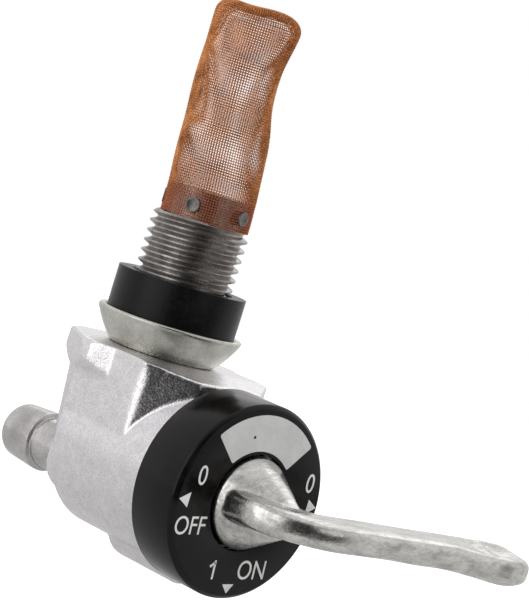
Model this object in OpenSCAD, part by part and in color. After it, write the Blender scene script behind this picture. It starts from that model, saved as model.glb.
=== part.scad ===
// Fuel tap with a gauze filter, a tank stud, a dial cap and a turning lever.
// Origin: centre of the top of the tank gasket, where the thread starts and the tank seats.
// +Z runs up into the tank, -Y faces the dial, +Y is the hose side.
// Sizes along Z are counted from the seat, the flat top of the body, and moved down at the end.

/* [Tank stud] */
// Outside diameter of the stud thread
thread_d = 13.157; // [12.4:0.05:14.4]
// Diameter of the plain shank under the thread
shank_d = 12.7; // [11.6:0.1:13]
// Height of the stud above the seat
stud_h = 18.3; // [16:0.1:24]
// Diameter of the spigot that carries the gauze
spigot_d = 10.7; // [9.6:0.1:11]
// Height of the spigot above the stud
spigot_h = 3.8; // [3:0.1:6]
// Diameter of the fuel bore down the stud
inlet_d = 6; // [4:0.1:7]
// Bevel at the top of the stud
stud_bevel = 0.5; // [0.2:0.1:1]
// Distance from one thread groove to the next
thread_pitch = 1.337; // [1:0.001:1.6]
// Depth of the thread grooves
thread_depth = 0.75; // [0.4:0.05:0.8]
// Width of a thread groove at its mouth
thread_groove_w = 0.95; // [0.6:0.05:1]
// Width of a thread groove at its root
thread_root_w = 0.2; // [0.1:0.05:0.3]
// Height of the middle of the first groove above the gasket
thread_lead = 0.6; // [0.6:0.05:1]

/* [Filter gauze] */
// Outside diameter of the gauze bag at its foot
gauze_d = 11.8; // [11.6:0.1:13]
// Length of the gauze bag
gauze_h = 28.6; // [20:0.2:45]
// Thickness of the gauze wall
gauze_wall = 0.42; // [0.3:0.02:0.5]
// How much the bag narrows towards its top, as a share of its radius
gauze_taper = 0.05; // [0:0.01:0.12]
// How far the top of the bag leans aside
gauze_lean = 0.8; // [0:0.1:1.5]
// Direction in which the bag leans, in degrees from +X
gauze_lean_dir = 137; // [0:1:359]
// Radius of the folded edge at the top of the bag
gauze_fold_r = 2.2; // [1:0.1:3.5]
// Depth of the hollow where the top is folded in
gauze_fold_depth = 0.7; // [0:0.1:1.5]
// Height of one raised wire above the wall
wire_rise = 0.1; // [0.04:0.02:0.16]
// Number of rows of open meshes
mesh_rows = 11; // [5:1:11]

/* [Gauze pegs] */
// Number of pegs that hold the gauze
peg_n = 5; // [5:5:5]
// Diameter of a peened peg head
peg_head_d = 2; // [1.2:0.1:2.4]
// Diameter of a peg where it passes the gauze
peg_shank_d = 0.7; // [0.4:0.05:0.75]
// Height of the pegs above the foot of the gauze
peg_rise = 1.8; // [1.5:0.1:2.2]
// Height of a peened head above the gauze
peg_head_h = 0.25; // [0.2:0.05:0.8]

/* [Tank gasket and cup washer] */
// Outside diameter of the rubber gasket
gasket_d = 17.4; // [16.4:0.1:18]
// Height of the top of the gasket above the seat
gasket_top = 9.9; // [7:0.1:13]
// Edge bevel of the gasket
gasket_bevel = 0.35; // [0.1:0.05:0.8]
// Clearance of gasket and washer round the stud
stud_clearance = 0.2; // [0.1:0.05:0.4]
// Outside diameter of the cup washer at its rim
cup_d = 19.6; // [19.6:0.1:24]
// Outside diameter of the cup washer at its foot
cup_foot_d = 14.4; // [14.4:0.1:17]
// Height of the cup washer
cup_h = 4.5; // [3.4:0.1:6]
// How far the wall of the cup bulges outwards
cup_belly = 0.2; // [0:0.05:0.5]
// Sheet thickness of the cup washer
cup_t = 1; // [0.6:0.1:1.2]
// Clearance between the gasket and the cup
cup_clearance = 0.08; // [0.05:0.01:0.2]

/* [Body] */
// Width of the hexagon head across its flats
hex_af = 23; // [22.8:0.1:25]
// Height of the straight sides of the head
hex_h = 2.8; // [1.5:0.1:4]
// Height of the sloped underside of the head
hex_slope_h = 1.6; // [0.8:0.1:2.5]
// Diameter that rounds off the corners of the head
hex_turn_d = 25.7; // [24.6:0.1:26.6]
// Half width of the neck below the head
neck_half_w = 11.1; // [10.8:0.1:11.4]
// Distance from the stud axis to the back of the neck
neck_back = 3.1; // [2:0.1:5]
// Distance from the stud axis to the side corners of the neck
neck_corner = 9.75; // [8:0.05:12]
// Half width of the flat front of the neck
neck_front_half_w = 5.5; // [4:0.1:8]
// Distance between the flat front of the neck and the back of the dial cap
neck_clearance = 1.1; // [0.8:0.1:3]
// Distance from the stud axis to the line where the top falls away to the front
front_fall_start = 8.2; // [7.6:0.1:11]
// Angle at which the top falls away to the front
front_fall_angle = 6; // [2:0.5:10]
// Radius of the round back of the body under the head
back_top_r = 11.1; // [10.6:0.1:11.2]
// Radius of the round back of the body at the dial axis
back_r = 10.45; // [9.8:0.05:10.8]

/* [Valve drum] */
// Depth of the dial axis below the seat
axis_drop = 13; // [12.4:0.1:16]
// Thickness of the drum wall round the pocket
drum_wall = 1.8; // [1.6:0.1:2.4]
// Distance from the stud axis to the front of the dial
dial_reach = 23.5; // [23:0.1:28]
// Diameter of the pocket for the seal and the lever disc
pocket_d = 19.4; // [18.6:0.1:20]
// Bevel round the back edge of the drum
drum_bevel = 0.8; // [0.3:0.1:1.5]
// Radius of the rib under the drum
rib_r = 3.2; // [2:0.1:4]
// How far the lowest line of the rib lies below the drum
rib_stand = 1.9; // [1.1:0.1:3.5]
// Distance from the stud axis to the round end of the rib
rib_back = 1.8; // [1:0.1:4]

/* [Dial cap] */
// Sheet thickness of the skirt of the dial cap
dial_wall = 1.15; // [0.8:0.05:1.6]
// Length of the dial cap
dial_h = 7.6; // [6:0.1:8.4]
// Sheet thickness of the front of the dial cap
dial_t = 1.1; // [0.8:0.1:1.4]
// Bevel round the front edge of the dial cap
dial_bevel = 0.6; // [0.2:0.1:1]
// Clearance between the dial cap and the drum
dial_clearance = 0.05; // [0.02:0.01:0.15]

/* [Lever] */
// Diameter of the round hub in the hole of the dial
hub_d = 12; // [10:0.1:13]
// Clearance of the hub in the hole of the dial
hub_clearance = 0.3; // [0.2:0.05:0.5]
// Length of the cone in front of the dial
hub_cone_h = 9.4; // [7:0.1:11]
// Distance from the dial face to the foot of the cone
hub_proud = 0.4; // [0.3:0.1:1]
// Distance from the dial axis to the tip of the arm
arm_reach = 42.8; // [30:0.1:60]
// Width of the arm
arm_w = 7.6; // [6:0.1:9]
// Thickness of the arm where it leaves the hub
arm_root_t = 4.2; // [3.6:0.1:4.6]
// Thickness of the straight part of the arm
arm_mid_t = 3.5; // [2.8:0.1:4.2]
// Thickness of the arm at its tip
arm_tip_t = 4.3; // [3:0.1:5]
// Length over which the arm thickens towards its tip
arm_tip_run = 14; // [10:0.5:20]
// Length over which the sides of the arm close in its round end
arm_end = 6.8; // [4:0.1:9]
// Length of the rounded nose of the arm
arm_nose = 2.2; // [1:0.1:3]
// Distance from the dial face to the middle of the arm
arm_stand_off = 10.5; // [9:0.1:13]
// Radius of the bend along the middle of the arm
arm_bend_r = 6.5; // [5:0.1:7.5]
// How far the root of the arm lies beside the dial axis
arm_root_x = 1.75; // [1:0.05:2]
// Depth of the thumb dish in the arm
dish_depth = 0.8; // [0.2:0.05:1]
// Radius of the ball that forms the thumb dish
dish_ball_r = 6; // [5:0.1:14]
// Distance from the tip of the arm to the middle of the thumb dish
dish_back = 7.2; // [5:0.1:9]
// How far the dish is drawn out each way along the arm
dish_stretch = 1.9; // [0.3:0.1:2]

/* [Valve] */
// Thickness of the lever disc
disc_t = 3; // [2.4:0.1:3.4]
// Clearance of the disc in its pocket, all round
disc_clearance = 0.3; // [0.2:0.05:0.5]
// Thickness of the rubber seal
seal_t = 3.9; // [3:0.1:4.6]
// Clearance of the seal in its pocket, all round
seal_clearance = 0.15; // [0.05:0.05:0.3]
// Running gap between the seal and the lever disc
seal_gap = 0.08; // [0.05:0.01:0.15]
// Distance from the dial axis to each port
port_r = 4.35; // [4:0.05:4.8]
// Diameter of the ports
port_d = 4.5; // [3.6:0.1:4.8]
// Diameter of the pins that keep the seal from turning
seal_pin_d = 2.6; // [2:0.1:3]
// Length of the pins that keep the seal from turning
seal_pin_h = 2.6; // [1.5:0.1:2.9]
// Clearance of the pins in the seal
seal_pin_clearance = 0.15; // [0.1:0.05:0.3]
// Depth of the fuel groove in the lever disc
groove_depth = 1.5; // [0.8:0.1:2]
// Half of the angle that the fuel groove covers
groove_half_angle = 96; // [90:1:110]
// Sheet thickness of the wave spring
spring_t = 0.35; // [0.25:0.05:0.5]
// Number of waves in the spring
spring_waves = 3; // [3:1:5]
// Clearance of the wave spring in its pocket, all round
spring_side_clearance = 1.1; // [0.6:0.1:1.6]
// Clearance of the wave spring round the hub
spring_hub_clearance = 0.6; // [0.5:0.05:1]

/* [Lever stop] */
// Half of the angle that the stop tab covers
stop_half_angle = 9; // [5:1:15]
// Angle left free at each end of the travel
stop_free_angle = 0.5; // [0.3:0.1:2]
// How far the stop tab stands out from the disc
stop_reach = 1.1; // [0.8:0.1:1.2]
// Thickness of the stop tab
stop_t = 1.5; // [1:0.1:2]

/* [Hose nozzle] */
// Diameter of the nozzle tube
nozzle_d = 7; // [6.4:0.1:7.6]
// Diameter of the hose barb at its shoulder
barb_d = 8.3; // [7.8:0.1:9]
// Diameter of the hose barb at its tip
barb_tip_d = 7.5; // [6.8:0.1:7.7]
// Distance from the stud axis to the shoulder of the barb
barb_back = 16; // [13:0.1:20]
// Distance from the stud axis to the tip of the nozzle
nozzle_reach = 22.9; // [20:0.1:30]
// Diameter of the bore through the nozzle
nozzle_bore_d = 4.8; // [4:0.1:5.2]
// Round at the tip of the nozzle
nozzle_tip_r = 1; // [0.5:0.1:1.2]
// Depth of the nozzle in the body
nozzle_seat = 6; // [4:0.1:7]
// Clearance of the nozzle in its seat
nozzle_clearance = 0.02; // [0.01:0.01:0.05]
// Diameter of the boss round the nozzle
nozzle_boss_d = 10; // [9.6:0.1:11]
// Distance from the stud axis to the face of the nozzle boss
nozzle_boss_back = 10.2; // [9.8:0.1:12]

/* [Hidden] */
$fn = 96;
// Length by which a cut runs past a face
past = 1;
drum_r = pocket_d / 2 + drum_wall;
rib_reach = drum_r + rib_stand;
neck_front = dial_reach - dial_h - neck_clearance;
spring_r = pocket_d / 2 - spring_side_clearance;
spring_hole_r = hub_d / 2 + spring_hub_clearance;
dial_r = drum_r + dial_clearance + dial_wall;
dial_hole_r = hub_d / 2 + hub_clearance;
stud_hole_r = thread_d / 2 + stud_clearance;
// Height of the wave spring between the disc and the dial cap
spring_height = 1.32;
// Depths along the dial axis, from the stud axis towards the dial
body_face = dial_reach - dial_t;
disc_front = body_face - spring_height;
disc_back = disc_front - disc_t;
seal_face = disc_back - seal_gap;
pocket_floor = seal_face - seal_t;
outlet_drop = axis_drop + port_r;
inlet_drop = axis_drop - port_r;
head_h = hex_h + hex_slope_h;
spigot_top = stud_h + spigot_h;
thread_h = stud_h - gasket_top;
thread_r = thread_d / 2;
thread_root_r = thread_r - thread_depth;
thread_grooves = floor((thread_h - stud_bevel - thread_lead) / thread_pitch) + 1;
// Gauze grid
gauze_cols = 40;
gauze_foot = stud_h + 0.05;
gauze_top = gauze_foot + gauze_h;
gauze_side_top = gauze_top - gauze_fold_r;
peg_z = gauze_foot + peg_rise;
foot_rows = 3;
foot_marks = [0, peg_rise - 0.6, peg_rise + 0.6, peg_rise + 1.6];
side_rows = foot_rows + 2 * mesh_rows + 1;
crown_steps = [22, 45, 68, 90];
crown_rings = [0.55, 0.2];
gauze_rows = side_rows + len(crown_steps) + len(crown_rings);
// Arm path
arm_bend_y = arm_stand_off - arm_bend_r;
arm_run = arm_reach + arm_root_x - arm_bend_r;
arm_sides = 32;

// Puts a shape drawn in the plane of the dial at a depth in front of the stud axis.
// The shape grows towards the dial.
module at_dial(depth) {
    translate([0, -depth, -axis_drop]) rotate([90, 0, 0]) children();
}

// Puts a shape on the axis of the outlet, growing towards the hose.
module at_outlet(back) {
    translate([0, back, -outlet_drop]) rotate([-90, 0, 0]) children();
}

// Moves a finished piece from the seat down to its place under the tank.
module under_tank() {
    translate([0, 0, -gasket_top]) children();
}

// A pie slice of the given radius about the +X axis of its plane.
module slice(radius, half_angle, turn) {
    steps = 12;
    rotate(turn)
        polygon(concat([[0, 0]],
            [for (i = [0:steps]) let (a = half_angle * (2 * i / steps - 1))
                radius / cos(half_angle / steps) * [cos(a), sin(a)]]));
}

// Body

module hexagon_head() {
    intersection() {
        translate([0, 0, -head_h]) cylinder(h = head_h, d = hex_af / cos(30), $fn = 6);
        rotate_extrude() polygon([
            [0, 0], [hex_turn_d / 2 - 0.5, 0], [hex_turn_d / 2, -0.5], [hex_turn_d / 2, -hex_h],
            [back_top_r, -head_h], [0, -head_h]]);
    }
}

module neck() {
    translate([0, 0, -axis_drop]) linear_extrude(axis_drop) polygon([
        [-neck_half_w, neck_back], [-neck_half_w, -neck_corner],
        [-neck_front_half_w, -neck_front], [neck_front_half_w, -neck_front],
        [neck_half_w, -neck_corner], [neck_half_w, neck_back]]);
}

// Round back of the body, closed below by a dome.
module round_back() {
    dome = [for (a = [0:15:90]) [back_r * cos(a), -axis_drop - back_r * sin(a)]];
    rotate_extrude() polygon(concat([[0, -hex_h], [back_top_r, -hex_h], [back_top_r, -head_h]], dome));
}

module drum() {
    at_dial(-neck_back) {
        cylinder(h = drum_bevel, r1 = drum_r - drum_bevel, r2 = drum_r);
        translate([0, 0, drum_bevel]) cylinder(h = body_face + neck_back - drum_bevel, r = drum_r);
    }
}

module rib() {
    run = body_face - dial_h + dial_t - rib_back;
    ball = [for (a = [0:15:90]) [rib_r * sin(a), rib_r - rib_r * cos(a)]];
    at_dial(rib_back) translate([0, rib_r - rib_reach, 0])
        rotate_extrude() polygon(concat(ball, [[rib_r, run], [0, run]]));
}

module peg(turn) {
    root = spigot_d / 2 - 1;
    head_foot = gauze_d / 2 + wire_rise + 0.02;
    rotate(turn) translate([root, 0, peg_z]) rotate([0, 90, 0]) {
        cylinder(h = head_foot - root + peg_head_h / 2, d = peg_shank_d);
        translate([0, 0, head_foot - root])
            cylinder(h = peg_head_h, d1 = peg_head_d, d2 = peg_head_d * 0.7);
    }
}

// The thread above the gasket, turned as a row of grooves.
module thread() {
    grooves = [for (k = [0:thread_grooves - 1]) let (z = thread_lead + k * thread_pitch)
        each [[thread_r, z - thread_groove_w / 2], [thread_root_r, z - thread_root_w / 2],
              [thread_root_r, z + thread_root_w / 2], [thread_r, z + thread_groove_w / 2]]];
    translate([0, 0, gasket_top]) rotate_extrude() polygon(concat([[0, 0], [thread_r, 0]], grooves,
        [[thread_r, thread_h - stud_bevel], [thread_r - stud_bevel, thread_h], [0, thread_h]]));
}

module stud() {
    cylinder(h = gasket_top + past, d = shank_d);
    thread();
    cylinder(h = spigot_top, d = spigot_d);
    for (k = [0:peg_n - 1]) peg(k * 360 / peg_n);
}

// Space above the front of the head, where its top falls away.
module front_fall() {
    translate([0, -front_fall_start, 0]) rotate([front_fall_angle, 0, 0])
        translate([-hex_af, -hex_af, 0]) cube([2 * hex_af, hex_af, head_h]);
}

module fuel_passages() {
    translate([0, 0, -inlet_drop]) cylinder(h = spigot_top + inlet_drop + past, d = inlet_d);
    at_dial(0) translate([0, port_r, 0]) cylinder(h = pocket_floor + past, d = port_d);
    at_outlet(-pocket_floor - past) cylinder(h = pocket_floor + nozzle_boss_back, d = port_d);
    at_outlet(nozzle_boss_back - nozzle_seat)
        cylinder(h = nozzle_seat + past, d = nozzle_d + 2 * nozzle_clearance);
}

module valve_pocket() {
    at_dial(pocket_floor) cylinder(h = body_face - pocket_floor + past, d = pocket_d);
    at_dial(disc_front - stop_t - seal_gap) linear_extrude(body_face - disc_front + stop_t + seal_gap + past)
        intersection() {
            circle(r = pocket_d / 2 - disc_clearance + stop_reach + 0.2);
            slice(drum_r, 90 + stop_half_angle + stop_free_angle, 90);
        }
}

module seal_pins() {
    for (side = [-1, 1]) at_dial(pocket_floor - past) translate([side * port_r, 0, 0])
        cylinder(h = seal_pin_h + past, d = seal_pin_d, $fn = 48);
}

module body() {
    color("gainsboro") under_tank() {
        difference() {
            union() {
                hexagon_head();
                neck();
                round_back();
                drum();
                rib();
                at_outlet(0) cylinder(h = nozzle_boss_back, d = nozzle_boss_d);
                stud();
            }
            front_fall();
            fuel_passages();
            valve_pocket();
        }
        seal_pins();
    }
}

// Washers on the stud

cup_r = cup_d / 2;
cup_in_r = cup_r - cup_t;
cup_edge = 0.2;
// Lean of the inside of the cup, as run along the radius for each unit of height
cup_floor_r = stud_hole_r + 0.05;
cup_lean = (cup_in_r - cup_floor_r) / (cup_h - cup_edge - cup_t);

module cup_washer() {
    foot_r = cup_foot_d / 2;
    wall_top = cup_h - 2 * cup_edge;
    color("silver") under_tank() rotate_extrude() polygon([
        [stud_hole_r, 0], [foot_r - cup_edge, 0], [foot_r + cup_edge / 2, cup_edge],
        [(foot_r + cup_r) / 2 + cup_belly, wall_top / 2], [cup_r, wall_top], [cup_r, cup_h - cup_edge],
        [cup_r - cup_edge, cup_h], [cup_in_r + cup_edge, cup_h], [cup_in_r, cup_h - cup_edge],
        [cup_floor_r, cup_t], [stud_hole_r, cup_t]]);
}

module tank_gasket() {
    gasket_r = gasket_d / 2;
    foot = cup_t + 2 * cup_clearance;
    color("dimgray") under_tank() rotate_extrude() polygon([
        [stud_hole_r, foot], [cup_floor_r, foot], [gasket_r, foot + (gasket_r - cup_floor_r) / cup_lean],
        [gasket_r, gasket_top - gasket_bevel], [gasket_r - gasket_bevel, gasket_top],
        [stud_hole_r + gasket_bevel, gasket_top], [stud_hole_r, gasket_top - gasket_bevel]]);
}

// Filter gauze: a bag of wire mesh, folded shut at the top

// Height of row j of the side wall.
function side_z(j) = j <= foot_rows ? gauze_foot + foot_marks[j]
    : gauze_foot + foot_marks[foot_rows]
        + (gauze_side_top - gauze_foot - foot_marks[foot_rows]) * (j - foot_rows) / (side_rows - foot_rows);

// Radius of the wall at a height.
function bag_r(z) = gauze_d / 2 * (1 - gauze_taper * (z - gauze_foot) / gauze_h);

// Radius and height of row j, at an inset from the outside of the wall.
function bag_row(j, inset) =
    j <= side_rows ? [bag_r(side_z(j)) - inset, side_z(j)]
    : j <= side_rows + len(crown_steps)
        ? let (a = crown_steps[j - side_rows - 1], r = gauze_fold_r - inset)
            [bag_r(gauze_side_top) - gauze_fold_r + r * cos(a), gauze_side_top + r * sin(a)]
        : let (share = crown_rings[j - side_rows - len(crown_steps) - 1])
            [(bag_r(gauze_side_top) - gauze_fold_r) * share,
             gauze_top - inset - gauze_fold_depth * (1 - share)];

// Point of the grid in column i and row j.
function bag_point(i, j, inset) =
    let (row = bag_row(j, inset), a = (i - 0.5) * 360 / gauze_cols,
         rise = inset > 0 || j > side_rows ? 0 : wire_rise * (i % 2) * (j % 2 + 1) / 2,
         lean = gauze_lean * max(0, row[1] - spigot_top) / (gauze_top - spigot_top))
    [(row[0] + rise) * cos(a) + lean * cos(gauze_lean_dir),
     (row[0] + rise) * sin(a) + lean * sin(gauze_lean_dir), row[1]];

// True where the mesh is open, or where a peg passes.
function is_open(i, j) =
    (j == 1 && i % (gauze_cols / peg_n) == 0)
    || (j > foot_rows && j < side_rows && (j - foot_rows) % 2 == 1 && i % 4 == 2);

module filter_gauze() {
    cols = gauze_cols;
    rows = gauze_rows;
    layer = cols * (rows + 1);
    outer = [for (j = [0:rows]) for (i = [0:cols - 1]) bag_point(i, j, 0)];
    inner = [for (j = [0:rows]) for (i = [0:cols - 1]) bag_point(i, j, gauze_wall)];
    // Index of the outer point i, j and the cell's corners
    function at(i, j) = j * cols + i % cols;
    walls = [for (j = [0:rows - 1]) for (i = [0:cols - 1])
        let (a = at(i, j), b = at(i + 1, j), c = at(i + 1, j + 1), d = at(i, j + 1))
            if (is_open(i, j))
                each [[b, a, a + layer, b + layer], [c, b, b + layer, c + layer],
                      [d, c, c + layer, d + layer], [a, d, d + layer, a + layer]]
            else
                each [[a, d, c, b], [a + layer, b + layer, c + layer, d + layer]]];
    foot = [for (i = [0:cols - 1]) [at(i, 0), at(i + 1, 0), at(i + 1, 0) + layer, at(i, 0) + layer]];
    lids = [[for (i = [cols - 1:-1:0]) at(i, rows)], [for (i = [0:cols - 1]) at(i, rows) + layer]];
    color("peru") under_tank() polyhedron(points = concat(outer, inner), faces = concat(walls, foot, lids));
}

// Hose nozzle

module hose_nozzle() {
    length = nozzle_reach - nozzle_boss_back + nozzle_seat;
    shoulder = barb_back - nozzle_boss_back + nozzle_seat;
    tip_r = barb_tip_d / 2;
    tip = [for (a = [0:22.5:90])
        [tip_r - nozzle_tip_r + nozzle_tip_r * cos(a), length - nozzle_tip_r + nozzle_tip_r * sin(a)]];
    color("lightgray") under_tank() at_outlet(nozzle_boss_back - nozzle_seat) rotate_extrude()
        polygon(concat([[nozzle_bore_d / 2, 0], [nozzle_d / 2 - 0.3, 0], [nozzle_d / 2, 0.3],
            [nozzle_d / 2, shoulder], [barb_d / 2, shoulder + 0.1], [barb_d / 2, shoulder + 0.6]],
            tip, [[nozzle_bore_d / 2, length]]));
}

// Valve

module valve_seal() {
    color("dimgray") under_tank() at_dial(pocket_floor) difference() {
        cylinder(h = seal_t, r = pocket_d / 2 - seal_clearance);
        for (side = [-1, 1]) {
            translate([0, side * port_r, -past]) cylinder(h = seal_t + 2 * past, d = port_d);
            translate([side * port_r, 0, -past])
                cylinder(h = seal_t + 2 * past, r = seal_pin_d / 2 + seal_pin_clearance, $fn = 48);
        }
    }
}

// Point on the middle line of the arm at share t of its length, with the heading there.
arm_stem = arm_bend_y - hub_proud;
arm_arc = arm_bend_r * PI / 2;
arm_length = arm_stem + arm_arc + arm_run;

function arm_at(s) =
    s <= arm_stem ? [-arm_root_x, hub_proud + s, 90]
    : s <= arm_stem + arm_arc
        ? let (a = (s - arm_stem) / arm_bend_r * 180 / PI)
            [-arm_root_x + arm_bend_r * (1 - cos(a)), arm_bend_y + arm_bend_r * sin(a), 90 - a]
        : let (u = (s - arm_stem - arm_arc) / arm_run)
            [-arm_root_x + arm_bend_r + u * arm_run, arm_stand_off, 0];

// Half width of the arm, which closes in a round end.
function arm_half_w(s) =
    let (left = arm_length - s, w = arm_w / 2)
    left >= arm_end ? w : w * sqrt(max(1 - pow(1 - left / arm_end, 2), 0.002));

// Runs from 0 to 1 with a soft start and end.
function ease(x) = let (u = min(1, max(0, x))) u * u * (3 - 2 * u);

// How far the underside of the arm drops towards the tip.
function arm_drop(s) =
    (arm_tip_t - arm_mid_t) * ease((s - arm_length + arm_tip_run) / (arm_tip_run - arm_w / 2));

// Half thickness of the arm, which closes in a rounded nose.
function arm_half_t(s) =
    let (left = arm_length - s,
         thickness = arm_root_t + (arm_mid_t - arm_root_t) * ease(s / (arm_stem + arm_arc)) + arm_drop(s))
    thickness / 2 * (left >= arm_nose ? 1 : sqrt(max(1 - 0.8 * pow(1 - left / arm_nose, 2), 0.1)));

// Rounded rectangle of the arm's section, from a superellipse.
function soft(v) = sign(v) * pow(abs(v), 0.5);

function arm_ring(s) =
    let (p = arm_at(s), w = arm_half_w(s), h = arm_half_t(s))
    [for (k = [0:arm_sides - 1])
        let (a = (k + 0.5) * 360 / arm_sides, u = w * soft(cos(a)), v = h * soft(sin(a)))
        [p[0] + u * sin(p[2]), v - arm_drop(s) / 2, p[1] - u * cos(p[2])]];

module arm() {
    // Rings of the bend, of the straight part and, closer together, of the tip
    bend = arm_stem + arm_arc;
    tip = 1.3 * arm_end;
    marks = [
        for (k = [0:19]) bend * k / 20,
        for (k = [0:9]) bend + (arm_run - tip) * k / 10,
        for (k = [0:22]) arm_length - tip * (1 - sin(k / 22 * 90))];
    n = arm_sides;
    last = len(marks) - 1;
    points = [for (s = marks) each arm_ring(s)];
    skin = [for (j = [0:last - 1]) for (k = [0:n - 1])
        [j * n + k, (j + 1) * n + k, (j + 1) * n + (k + 1) % n, j * n + (k + 1) % n]];
    ends = [[for (k = [0:n - 1]) k], [for (k = [n - 1:-1:0]) last * n + k]];
    polyhedron(points = points, faces = concat(skin, ends));
}

module lever_disc() {
    difference() {
        union() {
            cylinder(h = disc_t, r = pocket_d / 2 - disc_clearance);
            translate([0, 0, disc_t - stop_t]) linear_extrude(stop_t) intersection() {
                circle(r = pocket_d / 2 - disc_clearance + stop_reach);
                slice(drum_r, stop_half_angle, 180);
            }
        }
        translate([0, 0, -past]) linear_extrude(groove_depth + past) intersection() {
            difference() {
                circle(r = port_r + port_d / 2);
                circle(r = port_r - port_d / 2);
            }
            slice(drum_r, groove_half_angle, 90);
        }
    }
}

module lever() {
    cone_foot = dial_reach + hub_proud;
    color("silver") under_tank() {
        at_dial(disc_back) lever_disc();
        at_dial(disc_front - past) cylinder(h = cone_foot - disc_front + past, d = hub_d);
        difference() {
            union() {
                at_dial(cone_foot) cylinder(h = hub_cone_h, d1 = hub_d, d2 = 1.6);
                at_dial(dial_reach) arm();
            }
            at_dial(dial_reach) for (along = [-1, 1])
                translate([arm_reach - dish_back + along * dish_stretch,
                           arm_mid_t / 2 - dish_depth + dish_ball_r, arm_stand_off])
                    sphere(r = dish_ball_r);
        }
    }
}

module wave_spring() {
    n = 60;
    swing = (spring_height - seal_gap - spring_t) / 2;
    ring = [for (i = [0:n - 1]) let (a = i * 360 / n, z = swing + swing * cos(a * spring_waves))
        each [for (c = [[spring_hole_r, 0], [spring_r, 0], [spring_r, spring_t], [spring_hole_r, spring_t]])
            [c[0] * cos(a), c[0] * sin(a), z + c[1]]]];
    skin = [for (i = [0:n - 1]) for (k = [0:3])
        [i * 4 + k, i * 4 + (k + 1) % 4, ((i + 1) % n) * 4 + (k + 1) % 4, ((i + 1) % n) * 4 + k]];
    color("darkgray") under_tank() at_dial(disc_front + seal_gap / 2)
        polyhedron(points = ring, faces = skin);
}

module dial_cap() {
    back = dial_reach - dial_h;
    inner_r = drum_r + dial_clearance;
    color([0.12, 0.11, 0.11]) under_tank() at_dial(back) rotate_extrude() polygon([
        [inner_r, 0], [dial_r, 0], [dial_r, dial_h - dial_bevel], [dial_r - dial_bevel, dial_h],
        [dial_hole_r, dial_h], [dial_hole_r, dial_h - dial_t], [inner_r, dial_h - dial_t]]);
}

body();
cup_washer();
tank_gasket();
filter_gauze();
hose_nozzle();
valve_seal();
lever();
wave_spring();
dial_cap();
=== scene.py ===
"""Studio scene of a fuel tap: die-cast body, tank stud with gauze filter, dial cap, lever and hose nozzle.

All sizes in the classes are in millimetres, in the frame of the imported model.
"""

import logging
import math
from dataclasses import dataclass
from enum import Enum
from typing import Callable, Sequence

import bpy
import numpy as np
from mathutils import Matrix, Vector


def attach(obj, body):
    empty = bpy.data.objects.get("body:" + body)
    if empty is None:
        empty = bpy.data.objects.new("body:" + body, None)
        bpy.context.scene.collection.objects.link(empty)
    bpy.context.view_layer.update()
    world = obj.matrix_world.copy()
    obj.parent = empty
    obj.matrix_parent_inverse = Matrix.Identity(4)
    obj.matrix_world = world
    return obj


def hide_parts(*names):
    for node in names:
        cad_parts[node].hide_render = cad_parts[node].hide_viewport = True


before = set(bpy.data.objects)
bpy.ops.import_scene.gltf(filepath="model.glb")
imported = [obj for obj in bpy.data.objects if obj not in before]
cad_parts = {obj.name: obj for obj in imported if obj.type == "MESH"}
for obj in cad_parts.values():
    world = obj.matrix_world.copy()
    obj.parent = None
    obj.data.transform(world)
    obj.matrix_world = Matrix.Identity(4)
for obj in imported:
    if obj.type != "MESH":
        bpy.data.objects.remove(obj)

MM = 0.001
WELD = 0.002 * MM
ROUND_STEPS = 128
LOG = logging.getLogger("fuel_tap")
Colour = tuple[float, float, float]
Point = tuple[float, float]


class Turning(Enum):
    """Axis about which a piece was turned, which sets how its marks run."""

    NONE = "none"
    ABOUT_Z = "about_z"
    ABOUT_Y = "about_y"


class Body(str, Enum):
    """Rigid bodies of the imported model."""

    HOUSING = "housing"
    LEVER = "lever"


# Finishes


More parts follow.
